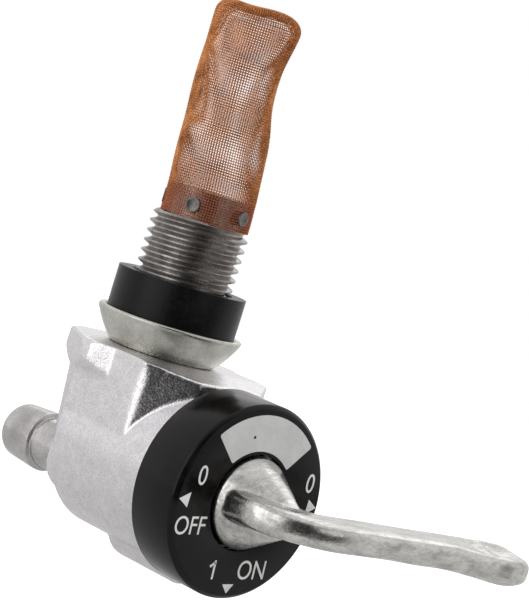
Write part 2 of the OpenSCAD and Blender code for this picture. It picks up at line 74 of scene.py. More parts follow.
class Graph:
    """Node graph of one procedural material."""

    def __init__(self, name: str) -> None:
        """Starts a material.

        Args:
            name: Name of the material.
        """
        self.material = bpy.data.materials.new(name)
        self.material.use_nodes = True
        self.tree = self.material.node_tree
        self.shader = self.tree.nodes["Principled BSDF"]

    def add(self, kind: str, **settings: object) -> bpy.types.Node:
        """Adds a node.

        Args:
            kind: Blender's node type.
            **settings: Attributes set on the node.

        Returns:
            The new node.
        """
        node = self.tree.nodes.new(kind)
        for key, value in settings.items():
            setattr(node, key, value)
        return node

    def link(self, source: bpy.types.NodeSocket, target: bpy.types.NodeSocket) -> None:
        """Links an output to an input."""
        self.tree.links.new(source, target)

    def math(self, operation: str, *values: object) -> bpy.types.NodeSocket:
        """Adds a Math node.

        Args:
            operation: Blender's operation name.
            *values: Numbers or output sockets.

        Returns:
            The node's output.
        """
        node = self.add("ShaderNodeMath", operation=operation)
        for slot, value in zip(node.inputs, values):
            if isinstance(value, bpy.types.NodeSocket):
                self.link(value, slot)
            else:
                slot.default_value = value
        return node.outputs[0]

    def place(self, turning: Turning, axis_mm: float = 0.0) -> bpy.types.NodeSocket:
        """Gives the coordinates that a pattern reads.

        Args:
            turning: Axis about which the marks run.
            axis_mm: Height of a Y axis above the origin.

        Returns:
            A vector output, in metres. For a turned piece it is (radius, 0, place along the axis).
        """
        source = self.add("ShaderNodeTexCoord").outputs["Object"]
        if turning is Turning.NONE:
            return source
        parts = self.add("ShaderNodeSeparateXYZ")
        self.link(source, parts.inputs[0])
        x, y, z = parts.outputs
        side, along = (y, z) if turning is Turning.ABOUT_Z else (self.math("SUBTRACT", z, axis_mm * MM), y)
        squares = self.math("ADD", self.math("MULTIPLY", x, x), self.math("MULTIPLY", side, side))
        joined = self.add("ShaderNodeCombineXYZ")
        self.link(self.math("SQRT", squares), joined.inputs[0])
        self.link(along, joined.inputs[2])
        return joined.outputs[0]

    def noise(self, vector: bpy.types.NodeSocket, size: float, detail: float = 3.0,
              roughness: float = 0.55, distortion: float = 0.0) -> bpy.types.NodeSocket:
        """Adds a noise pattern.

        Args:
            vector: Coordinates in metres.
            size: Size of a patch in millimetres.
            detail: Number of finer octaves.
            roughness: Strength of the finer octaves.
            distortion: How much the pattern is folded.

        Returns:
            The pattern's value.
        """
        node = self.add("ShaderNodeTexNoise")
        self.link(vector, node.inputs["Vector"])
        node.inputs["Scale"].default_value = 1.0 / (size * MM)
        node.inputs["Detail"].default_value = detail
        node.inputs["Roughness"].default_value = roughness
        node.inputs["Distortion"].default_value = distortion
        return node.outputs["Fac"]

    def spread(self, value: bpy.types.NodeSocket, low: float, high: float,
               to_low: float, to_high: float) -> bpy.types.NodeSocket:
        """Maps a value from one range to another, clamped.

        Returns:
            The mapped value.
        """
        node = self.add("ShaderNodeMapRange")
        self.link(value, node.inputs["Value"])
        for name, number in zip(("From Min", "From Max", "To Min", "To Max"), (low, high, to_low, to_high)):
            node.inputs[name].default_value = number
        return node.outputs["Result"]

    def blend(self, factor: bpy.types.NodeSocket, first: object, second: object) -> bpy.types.NodeSocket:
        """Mixes two colours.

        Args:
            factor: Share of the second colour.
            first: Colour or output socket.
            second: Colour or output socket.

        Returns:
            The mixed colour.
        """
        node = self.add("ShaderNodeMix", data_type="RGBA")
        self.link(factor, node.inputs[0])
        for slot, value in ((node.inputs[6], first), (node.inputs[7], second)):
            if isinstance(value, bpy.types.NodeSocket):
                self.link(value, slot)
            else:
                slot.default_value = (*value, 1.0)
        return node.outputs[2]

    def bump(self, height: bpy.types.NodeSocket, depth: float,
             under: bpy.types.NodeSocket | None = None) -> bpy.types.NodeSocket:
        """Turns a height into relief.

        Args:
            height: Height from 0 to 1.
            depth: Depth of the relief in millimetres.
            under: Normal of a coarser relief.

        Returns:
            The normal.
        """
        node = self.add("ShaderNodeBump")
        node.inputs["Strength"].default_value = 1.0
        node.inputs["Distance"].default_value = depth * MM
        self.link(height, node.inputs["Height"])
        if under is not None:
            self.link(under, node.inputs["Normal"])
        return node.outputs["Normal"]

    def finish(self, colour: bpy.types.NodeSocket, roughness: bpy.types.NodeSocket,
               normal: bpy.types.NodeSocket, metallic: float) -> bpy.types.Material:
        """Joins the patterns to the shader.

        Returns:
            The finished material.
        """
        self.link(colour, self.shader.inputs["Base Color"])
        self.link(roughness, self.shader.inputs["Roughness"])
        self.link(normal, self.shader.inputs["Normal"])
        self.shader.inputs["Metallic"].default_value = metallic
        return self.material


@dataclass(frozen=True)
class MetalFinish:
    """A metal surface with stains, grain and, on a turned piece, tool marks."""

    name: str
    light: Colour
    dark: Colour
    polished: float
    dull: float
    stain: float
    grain: float
    relief: float
    turning: Turning = Turning.NONE
    axis: float = 0.0
    ring: float = 0.3
    ring_relief: float = 0.0
    swell: float = 0.0
    metallic: float = 1.0
    cloud: float = 0.65
    drawn: float = 1.0

    def material(self) -> bpy.types.Material:
        """Builds the material.

        Returns:
            The procedural material.
        """
        graph = Graph(self.name)
        flat = graph.place(Turning.NONE)
        if self.drawn != 1.0:
            # Stains and grain are drawn out along X
            longer = graph.add("ShaderNodeVectorMath", operation="MULTIPLY")
            graph.link(flat, longer.inputs[0])
            longer.inputs[1].default_value = (1.0 / self.drawn, 1.0, 1.0)
            flat = longer.outputs[0]
        stain = graph.noise(flat, self.stain, 5.0, 0.6, 0.6)
        grain = graph.noise(flat, self.grain, 3.0, 0.6)
        tone = graph.math("ADD", graph.math("MULTIPLY", stain, self.cloud),
                          graph.math("MULTIPLY", grain, 1.0 - self.cloud))
        colour = graph.blend(graph.spread(tone, 0.36, 0.64, 0.0, 1.0), self.light, self.dark)
        roughness = graph.spread(tone, 0.35, 0.65, self.polished, self.dull)
        normal = graph.bump(graph.noise(flat, max(self.stain * 0.5, 1.0), 2.0), self.swell) if self.swell else None
        normal = graph.bump(grain, self.relief, normal)
        if self.turning is not Turning.NONE:
            rings = graph.noise(graph.place(self.turning, self.axis), self.ring, 2.0)
            normal = graph.bump(rings, self.ring_relief, normal)
        return graph.finish(colour, roughness, normal, self.metallic)


@dataclass(frozen=True)
class PaintFinish:
    """A black or white skin with faint tool bands and dust."""

    name: str
    colour: Colour
    dusty: Colour
    polished: float
    dull: float
    grain: float
    relief: float
    turning: Turning = Turning.NONE
    axis: float = 0.0
    band: float = 0.9
    band_relief: float = 0.0
    mirror: float = 0.5

    def material(self) -> bpy.types.Material:
        """Builds the material.

        Returns:
            The procedural material.
        """
        graph = Graph(self.name)
        flat = graph.place(Turning.NONE)
        dust = graph.noise(flat, 5.0, 6.0, 0.65, 0.4)
        grain = graph.noise(flat, self.grain, 3.0, 0.6)
        tone = graph.math("ADD", graph.math("MULTIPLY", dust, 0.6), graph.math("MULTIPLY", grain, 0.4))
        colour = graph.blend(graph.spread(tone, 0.44, 0.68, 0.0, 1.0), self.colour, self.dusty)
        roughness = graph.spread(tone, 0.35, 0.65, self.polished, self.dull)
        normal = graph.bump(grain, self.relief)
        if self.turning is not Turning.NONE:
            bands = graph.noise(graph.place(self.turning, self.axis), self.band, 2.0)
            normal = graph.bump(bands, self.band_relief, normal)
        graph.shader.inputs["Specular IOR Level"].default_value = self.mirror
        return graph.finish(colour, roughness, normal, 0.0)


@dataclass(frozen=True)
class WireFinish:
    """Woven copper wire, redder where it lies over the spigot and browner in patches."""

    name: str = "copper_wire"
    bright: Colour = (1.0, 0.45, 0.17)
    brown: Colour = (0.42, 0.15, 0.055)
    over_metal: Colour = (0.56, 0.19, 0.09)
    band_top: float = 12.6

    def material(self) -> bpy.types.Material:
        """Builds the material.

        Returns:
            The procedural material.
        """
        graph = Graph(self.name)
        flat = graph.place(Turning.NONE)
        parts = graph.add("ShaderNodeSeparateXYZ")
        graph.link(flat, parts.inputs[0])
        patch = graph.noise(flat, 4.0, 4.0, 0.6, 0.8)
        speck = graph.noise(flat, 0.35, 2.0)
        tone = graph.math("ADD", graph.math("MULTIPLY", patch, 0.6), graph.math("MULTIPLY", speck, 0.4))
        colour = graph.blend(graph.spread(tone, 0.38, 0.62, 0.0, 1.0), self.bright, self.brown)
        edge = graph.math("ADD", parts.outputs[2], graph.math("MULTIPLY", patch, 1.6 * MM))
        band = graph.spread(edge, self.band_top * MM, (self.band_top + 1.0) * MM, 1.0, 0.0)
        colour = graph.blend(band, colour, self.over_metal)
        roughness = graph.spread(tone, 0.35, 0.65, 0.34, 0.55)
        return graph.finish(colour, roughness, graph.bump(speck, 0.01), 0.85)


# Bench: the modelling steps that the pieces share


def only(piece: bpy.types.Object) -> None:
    """Selects one piece and makes it active, with nothing else selected."""
    if bpy.context.object is not None and bpy.context.object.mode != "OBJECT":
        bpy.ops.object.mode_set(mode="OBJECT")
    bpy.ops.object.select_all(action="DESELECT")
    piece.select_set(True)
    bpy.context.view_layer.objects.active = piece


def edit_all(piece: bpy.types.Object) -> None:
    """Opens one piece in edit mode with all of it selected."""
    only(piece)
    bpy.ops.object.mode_set(mode="EDIT")
    bpy.ops.mesh.select_all(action="SELECT")


def pick(piece: bpy.types.Object, wanted: Callable[[Vector], bool]) -> None:
    """Selects vertices by place, and leaves the piece in edit mode with them selected.

    Args:
        piece: The piece.
        wanted: Test of a vertex's place, in millimetres.
    """
    only(piece)
    bpy.ops.object.mode_set(mode="EDIT")
    bpy.ops.mesh.select_mode(type="VERT")
    bpy.ops.mesh.select_all(action="DESELECT")
    bpy.ops.object.mode_set(mode="OBJECT")
    for vertex in piece.data.vertices:
        vertex.select = wanted(vertex.co / MM)
    bpy.ops.object.mode_set(mode="EDIT")


def modify(piece: bpy.types.Object, kind: str, **settings: object) -> None:
    """Adds a modifier, sets it and applies it.

    Args:
        piece: The piece.
        kind: Blender's modifier type.
        **settings: The modifier's attributes.
    """
    only(piece)
    bpy.ops.object.modifier_add(type=kind)
    modifier = piece.modifiers[-1]
    for key, value in settings.items():
        setattr(modifier, key, value)
    bpy.ops.object.modifier_apply(modifier=modifier.name)


def tidy(piece: bpy.types.Object, distance: float = 0.001) -> None:
    """Merges doubles and turns every face outwards.

    Args:
        piece: The piece.
        distance: Merging distance in millimetres.
    """
    edit_all(piece)
    bpy.ops.mesh.remove_doubles(threshold=distance * MM)
    bpy.ops.mesh.normals_make_consistent(inside=False)
    bpy.ops.object.mode_set(mode="OBJECT")


def smooth(piece: bpy.types.Object, degrees: float = 35.0) -> None:
    """Shades a piece smooth, apart from edges sharper than an angle."""
    only(piece)
    bpy.ops.object.shade_smooth_by_angle(angle=math.radians(degrees))


def settle(piece: bpy.types.Object) -> None:
    """Moves the piece's place, turn and scale into its mesh."""
    only(piece)
    bpy.ops.object.transform_apply(location=True, rotation=True, scale=True)


def dress(piece: bpy.types.Object, material: bpy.types.Material) -> None:
    """Gives a piece one material, in place of what it has."""
    piece.data.materials.clear()
    piece.data.materials.append(material)


def hand_over(piece: bpy.types.Object, name: str, body: Body, material: bpy.types.Material,
              nodes: Sequence[str] = ()) -> None:
    """Names, dresses and mounts a finished piece.

    Args:
        piece: The piece, settled.
        name: Its name.
        body: Body that it rides on.
        material: Its material.
        nodes: CAD nodes that it stands for.
    """
    piece.name = name
    piece.data.name = name
    dress(piece, material)
    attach(piece, body.value)
    if nodes:
        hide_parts(*nodes)
    LOG.info("%s: %d faces on %s", name, len(piece.data.polygons), body.value)


def join(pieces: Sequence[bpy.types.Object]) -> bpy.types.Object:
    """Joins pieces into the first of them.

    Args:
        pieces: The pieces, settled.

    Returns:
        The joined piece.
    """
    only(pieces[0])
    for piece in pieces[1:]:
        piece.select_set(True)
    bpy.ops.object.join()
    return bpy.context.object


def draw_out(path: Sequence[Vector]) -> bpy.types.Object:
    """Draws a point out along a path.

    Args:
        path: Places in metres.

    Returns:
        The piece, a chain of edges, in edit mode.
    """
    bpy.ops.object.select_all(action="DESELECT")
    bpy.ops.mesh.primitive_plane_add(size=MM, location=(0, 0, 0))
    piece = bpy.context.object
    bpy.ops.object.mode_set(mode="EDIT")
    bpy.ops.mesh.select_all(action="SELECT")
    bpy.ops.mesh.merge(type="CENTER")
    bpy.ops.transform.translate(value=path[0])
    for start, end in zip(path, path[1:]):
        bpy.ops.mesh.extrude_vertices_move(TRANSFORM_OT_translate={"value": end - start})
    return piece


def turn(outline: Sequence[Point], about: Turning, axis_z: float = 0.0) -> bpy.types.Object:
    """Turns a piece on a lathe: a point is drawn out along the closed outline, then spun.

    Args:
        outline: Points as (radius, place along the axis).
        about: Axis of the lathe.
        axis_z: Height of a Y axis.

    Returns:
        The turned piece.
    """
    upright = about is Turning.ABOUT_Z

    def place(point: Point) -> Vector:
        """Puts an outline point in space, in metres."""
        radius, along = point
        return Vector((radius, 0.0, along) if upright else (radius, along, axis_z)) * MM

    piece = draw_out([place(point) for point in (*outline, outline[0])])
    bpy.ops.mesh.select_all(action="SELECT")
    axis = (0, 0, 1) if upright else (0, 1, 0)
    centre = (0, 0, 0) if upright else (0, 0, axis_z * MM)
    bpy.ops.mesh.spin(steps=ROUND_STEPS, angle=math.tau, center=centre, axis=axis)
    bpy.ops.object.mode_set(mode="OBJECT")
    tidy(piece)
    return piece


def soften(piece: bpy.types.Object, width: float, segments: int = 3, degrees: float = 25.0) -> None:
    """Rounds the sharp edges of a turned piece."""
    modify(piece, "BEVEL", width=width * MM, segments=segments, limit_method="ANGLE",
           angle_limit=math.radians(degrees))


def copy_node(name: str) -> bpy.types.Object:
    """Copies a CAD node's mesh and merges its loose triangles.

    Args:
        name: Name of the node.

    Returns:
        The copy, with no tie to the node.
    """
    piece = bpy.data.objects.new(name + "_copy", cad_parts[name].data.copy())
    bpy.context.scene.collection.objects.link(piece)
    only(piece)
    if piece.data.has_custom_normals:
        bpy.ops.mesh.customdata_custom_splitnormals_clear()
    edit_all(piece)
    bpy.ops.mesh.remove_doubles(threshold=WELD)
    bpy.ops.object.mode_set(mode="OBJECT")
    return piece


def cut_off(piece: bpy.types.Object, height: float, side: int, fill: bool) -> None:
    """Saws a piece level.

    Args:
        piece: The piece.
        height: Height of the cut in millimetres.
        side: The side that is dropped, 1 for above and -1 for below.
        fill: Whether the cut is closed.
    """
    edit_all(piece)
    bpy.ops.mesh.bisect(plane_co=(0, 0, height * MM), plane_no=(0, 0, side), clear_outer=True, use_fill=fill)
    bpy.ops.object.mode_set(mode="OBJECT")


def ease(value: float, start: float, end: float) -> float:
    """Runs softly from 0 at the start to 1 at the end."""
    share = min(1.0, max(0.0, (value - start) / (end - start)))
    return share * share * (3.0 - 2.0 * share)


def iron(piece: bpy.types.Object, passes: int, group: str = "") -> None:
    """Evens out a mesh.

    Args:
        piece: The piece.
        passes: Rounds of smoothing.
        group: Vertex group that says where, or none for the whole piece.
    """
    modify(piece, "SMOOTH", factor=0.5, iterations=passes, vertex_group=group)


def recast(piece: bpy.types.Object, voxel: float, passes: int) -> None:
    """Gives a piece the soft edges and fillets of a casting.

    Args:
        piece: A closed piece.
        voxel: Size of the new faces in millimetres.
        passes: Rounds of smoothing.
    """
    modify(piece, "REMESH", mode="VOXEL", voxel_size=voxel * MM, adaptivity=0.0)
    iron(piece, passes)
    only(piece)
    bpy.ops.object.shade_smooth()


def thin_out(piece: bpy.types.Object, share: float) -> None:
    """Collapses edges until a share of the faces is left."""
    modify(piece, "DECIMATE", decimate_type="COLLAPSE", ratio=share)


# Pieces


@dataclass
class CastBody:
    """The die-cast body below the tank seat."""

    cut: float = -9.75
    voxel: float = 0.2
    passes: int = 4
    drum_z: float = -22.9
    drum_r: float = 11.5
    drum_gap: float = 0.2
    corner_x: float = 11.1
    corner_y: float = -9.75
    corner_top: float = -10.4
    corner_fade: float = 0.8
    corner_reach: float = 3.0
    corner_passes: int = 140
    head_top: float = -10.3
    head_foot: float = -14.6
    head_fade: float = 1.0
    head_passes: int = 18
    kept: float = 0.6

    def build(self, zinc: bpy.types.Material) -> None:
        """Builds the casting from the CAD body, with soft edges."""
        piece = copy_node("body")
        cut_off(piece, self.cut, 1, True)
        recast(piece, self.voxel, self.passes)
        corners = piece.vertex_groups.new(name="corners")
        head = piece.vertex_groups.new(name="head")
        for vertex in piece.data.vertices:
            x, y, z = vertex.co / MM
            if z < self.head_top:
                head.add([vertex.index], ease(z, self.head_foot - self.head_fade, self.head_foot), "REPLACE")
            # The facet's corners are rounded, short of the head's top and of the drum
            share = min(1.0, self.corner_reach - math.hypot(abs(x) - self.corner_x, y - self.corner_y),
                        (self.corner_top - z) / self.corner_fade,
                        math.hypot(x, z - self.drum_z) - self.drum_r - self.drum_gap)
            if share > 0.0:
                corners.add([vertex.index], share, "REPLACE")
        iron(piece, self.head_passes, "head")
        iron(piece, self.corner_passes, "corners")
        thin_out(piece, self.kept)
        hand_over(piece, "cast_body", Body.HOUSING, zinc, ["body"])


@dataclass
class TankStud:
    """The stud: core, spigot and helical thread."""

    foot: float = -9.8
    shank_r: float = 6.35
    core_r: float = 5.5
    crest_r: float = 6.5785
    root_r: float = 5.74
    pitch: float = 1.337
    thread_foot: float = -1.2
    top: float = 8.4
    bevel: float = 0.55
    spigot_r: float = 5.35
    spigot_top: float = 12.2
    bore_r: float = 3.0
    crest_round: float = 0.07
    root_round: float = 0.06
    sunk: float = 0.02
    thread_steps: int = 96

    def build(self, metal: bpy.types.Material) -> None:
        """Builds core and thread and hands them over."""
        shank_top, core_top = self.thread_foot + 0.3, self.top - 0.15
        core = turn([(self.bore_r, self.foot), (self.shank_r, self.foot), (self.shank_r, shank_top),
                     (self.core_r, shank_top), (self.core_r, core_top), (self.spigot_r, core_top),
                     (self.spigot_r, self.spigot_top), (self.bore_r, self.spigot_top)], Turning.ABOUT_Z)
        soften(core, 0.15)
        smooth(core)
        hand_over(core, "tank_stud", Body.HOUSING, metal, ["body"])
        thread = self._thread()
        hand_over(thread, "stud_thread", Body.HOUSING, metal, ["body"])

    def _thread(self) -> bpy.types.Object:
        """Winds the thread from the outline of one tooth.

        Returns:
            The thread as a closed sleeve round the core.
        """
        flank = 0.27 * self.pitch
        crest = 0.2 * self.pitch
        low = self.thread_foot - self.pitch
        lead_in, lead_out = 0.13 * self.pitch, 0.17 * self.pitch
        shoulder_r, fillet_r = self.crest_r - self.crest_round, self.root_r + self.root_round
        outline = [(self.root_r, 0.0), (self.root_r, 0.06 * self.pitch), (fillet_r, lead_in),
                   (shoulder_r, lead_in + flank), (self.crest_r, lead_out + flank),
                   (self.crest_r, lead_in + flank + crest), (shoulder_r, lead_out + flank + crest),
                   (fillet_r, lead_out + 2 * flank + crest), (self.root_r, 0.9 * self.pitch + 0.06),
                   (self.root_r, self.pitch)]
        piece = draw_out([Vector((r, 0.0, low + z)) * MM for r, z in outline])
        bpy.ops.object.mode_set(mode="OBJECT")
        turns = math.ceil((self.top - low) / self.pitch) + 1
        modify(piece, "SCREW", angle=math.tau, screw_offset=self.pitch * MM, iterations=turns,
               steps=self.thread_steps, render_steps=self.thread_steps, use_merge_vertices=True,
               merge_threshold=WELD, use_smooth_shade=True)
        # The top is bevelled
        for vertex in piece.data.vertices:
            x, y, z = vertex.co / MM
            radius = math.hypot(x, y)
            limit = self.crest_r - max(0.0, z - (self.top - self.bevel))
            if radius > limit:
                vertex.co.x *= limit / radius
                vertex.co.y *= limit / radius
        for height, side in ((self.thread_foot, -1), (self.top, 1)):
            cut_off(piece, height, side, False)
            # The rim is drawn in, a little way into the core
            pick(piece, lambda v, h=height: abs(v.z - h) < 0.002)
            bpy.ops.mesh.extrude_edges_move(TRANSFORM_OT_translate={"value": (0, 0, 0)})
            bpy.ops.object.mode_set(mode="OBJECT")
            for vertex in piece.data.vertices:
                if vertex.select:
                    radius = math.hypot(vertex.co.x, vertex.co.y) / MM
                    vertex.co.x *= (self.core_r - self.sunk) / radius
                    vertex.co.y *= (self.core_r - self.sunk) / radius
        tidy(piece, 0.0005)
        smooth(piece, 40.0)
        return piece


@dataclass
class TankSeal:
    """The rubber gasket and the cup washer that carries it."""

    hole_r: float = 6.78
    foot_r: float = 7.2
    cup_r: float = 9.8
    cup_foot: float = -9.9
    cup_top: float = -5.4
    sheet: float = 1.0
    gasket_r: float = 8.7

    def build(self, plated: bpy.types.Material, rubber: bpy.types.Material) -> None:
        """Builds both rings and hands them over."""
        foot, top, r, t = self.cup_foot, self.cup_top, self.cup_r, self.sheet
        cup = turn([(self.hole_r, foot), (self.foot_r - 0.2, foot), (self.foot_r + 0.1, foot + 0.2),
                    (7.98, foot + 1.05), (8.66, foot + 2.05), (9.24, foot + 3.0), (9.7, foot + 3.9),
                    (r, top - 0.25), (r - 0.2, top), (r - t + 0.2, top), (r - t, top - 0.22),
                    (7.85, foot + 2.7), (6.9, foot + 1.1), (self.hole_r, foot + 0.98)], Turning.ABOUT_Z)
        soften(cup, 0.16, 4, 18.0)
        smooth(cup, 50.0)
        hand_over(cup, "cup_washer_dish", Body.HOUSING, plated, ["cup_washer"])
        ring = turn([(self.hole_r, foot + 1.2), (6.85, foot + 1.2), (self.gasket_r, foot + 4.32),
                     (self.gasket_r, 0.0), (self.hole_r, 0.0)], Turning.ABOUT_Z)
        soften(ring, 0.3, 4)
        smooth(ring)
        hand_over(ring, "gasket_ring", Body.HOUSING, rubber, ["tank_gasket"])


@dataclass
class FilterBag:
    """The bag of woven wire on the spigot, its folded top and its pegs."""

    columns: int = 104
    pitch: float = 0.345
    foot: float = 8.46
    top: float = 37.1
    foot_r: float = 5.9
    top_r: float = 5.55
    fold_r: float = 1.9
    lean: float = 0.85
    lean_dir: float = 137.1
    wire: float = 0.17
    peg_z: float = 10.25
    pegs: int = 5
    peg_turn: float = -6.0
    peg_r: float = 5.525
    peg_head_r: float = 1.0
    peg_length: float = 1.1
    foot_shift: float = 0.29
    waist: float = 0.55
    bulge: float = 0.55
    weave: float = 0.055
    pinch: float = 0.16
    # Dents as (lobes round the bag, twist, phase, depth, share of the height where they begin)
    dents: tuple[tuple[int, float, float, float, float], ...] = (
        (2, 5.0, 0.6, 0.16, 0.12), (3, -9.0, 2.0, 0.12, 0.15), (5, 14.0, 0.0, 0.09, 0.2))

    def build(self, wire: bpy.types.Material, metal: bpy.types.Material) -> None:
        """Builds the bag and the pegs and hands them over."""
        hand_over(self._bag(), "gauze_bag", Body.HOUSING, wire, ["filter_gauze"])
        hand_over(self._pegs(), "gauze_pegs", Body.HOUSING, metal)

    def _rows(self) -> list[tuple[float, float, float]]:
        """Gives each row of the bag.

        Returns:
            For each row its height, its share of the full radius and how far it is folded flat.
        """
        side_top = self.top - self.fold_r
        count = round((side_top - self.foot) / self.pitch)
        rows = [(self.foot + (side_top - self.foot) * j / count, 1.0, 0.0) for j in range(count + 1)]
        arc = max(3, round(self.fold_r * math.pi / 2 / self.pitch))
        for j in range(1, arc + 1):
            a = j / arc * math.pi / 2
            shrink = self.fold_r * (1 - math.cos(a)) / self.top_r
            rows.append((side_top + self.fold_r * math.sin(a), 1.0 - shrink, 0.0))
        inner = self.top_r - self.fold_r
        flat = round(inner / self.pitch)
        for j in range(1, flat + 1):
            share = j / flat
            rows.append((self.top - 0.75 * math.sin(share * math.pi / 2), 1.0 - self.fold_r / self.top_r, share))
        return rows

    def _bag(self) -> bpy.types.Object:
        """Wraps a grid into the bag and weaves it.

        Returns:
            The woven bag.
        """
        rows = self._rows()
        bpy.ops.object.select_all(action="DESELECT")
        bpy.ops.mesh.primitive_grid_add(x_subdivisions=self.columns, y_subdivisions=len(rows) - 1, size=1.0)
        piece = bpy.context.object
        count = len(piece.data.vertices)
        flat = np.empty(count * 3)
        piece.data.vertices.foreach_get("co", flat)
        flat = flat.reshape(-1, 3)
        column = np.rint((flat[:, 0] + 0.5) * self.columns).astype(int)
        row = np.rint((flat[:, 1] + 0.5) * (len(rows) - 1)).astype(int)
        table = np.array(rows)
        z, share, folded = table[row, 0], table[row, 1], table[row, 2]
        angle = 2 * np.pi * column / self.columns
        rise = (z - self.foot) / (self.top - self.foot)
        side = np.radians(self.lean_dir)
        # Soft dents, squeezed waist and the bulge under the fold
        turn_to = angle - side
        radius = self.foot_r + (self.top_r - self.foot_r) * rise
        for lobes, twist, phase, depth, start in self.dents:
            dent = np.sin(lobes * turn_to + twist * rise + phase)
            radius = radius + depth * dent * np.clip((rise - start) * 3, 0, 1)
        far_side = np.clip(-np.cos(turn_to), 0, 1)
        radius = radius - self.waist * np.exp(-((rise - 0.62) / 0.2) ** 2) * far_side
        radius = radius + self.bulge * np.exp(-((rise - 0.95) / 0.12) ** 2) * far_side
        radius = radius * share
        weave = self.weave * np.where((column + row) % 2 == 0, 1.0, -1.0) * (folded < 0.98)
        along = (radius + weave) * np.cos(turn_to)
        across = (radius + weave) * np.sin(turn_to) * (1.0 - self.pinch * np.clip((rise - 0.8) * 5, 0, 1))
        # The top is pinched shut along a line
        across = across * (1.0 - folded) + 0.02 * folded * np.sign(np.sin(turn_to))
        shift = self.lean * np.clip((z - 13.0) / 17.0, 0, 1) - 0.3 * np.clip((18.0 - z) / 8.0, 0, 1)
        along = along + shift
        place = np.empty_like(flat)
        place[:, 0] = along * math.cos(side) - across * math.sin(side)
        place[:, 1] = along * math.sin(side) + across * math.cos(side)
        place[:, 2] = z + 0.12 * np.sin(3 * turn_to + 1.0) * (share < 1.0)
        piece.data.vertices.foreach_set("co", (place * MM).ravel())
        piece.data.update()
        tidy(piece, 0.05)
        modify(piece, "WIREFRAME", thickness=self.wire * MM, offset=0.0, use_even_offset=False,
               use_boundary=True, use_replace=True)
        only(piece)
        bpy.ops.object.shade_smooth()
        return piece

    def _pegs(self) -> bpy.types.Object:
        """Models one peened peg head and copies it round the spigot.

        Returns:
            All the pegs as one piece.
        """
        heads = []
        for k in range(self.pegs):
            bpy.ops.object.select_all(action="DESELECT")
            bpy.ops.mesh.primitive_cylinder_add(vertices=32, radius=self.peg_head_r * MM,
                                                depth=self.peg_length * MM, location=(0, 0, 0))
            head = bpy.context.object
            pick(head, lambda v: v.z > 0)
            bpy.ops.mesh.inset(thickness=0.2 * MM)
            bpy.ops.transform.translate(value=(0, 0, 0.05 * MM))
            bpy.ops.mesh.inset(thickness=0.35 * MM)
            bpy.ops.transform.translate(value=(0, 0, -0.14 * MM))
            bpy.ops.object.mode_set(mode="OBJECT")
            soften(head, 0.06)
            smooth(head, 50.0)
            a = k * math.tau / self.pegs + math.radians(self.peg_turn)
            out = self.peg_r - self.foot_shift * math.cos(a - math.radians(self.lean_dir))
            head.matrix_world = (Matrix.Rotation(a, 4, "Z") @ Matrix.Translation(Vector((out, 0, self.peg_z)) * MM)
                                 @ Matrix.Rotation(math.pi / 2, 4, "Y") @ Matrix.Rotation(k * 0.7, 4, "Z"))
            settle(head)
            heads.append(head)
        return join(heads)


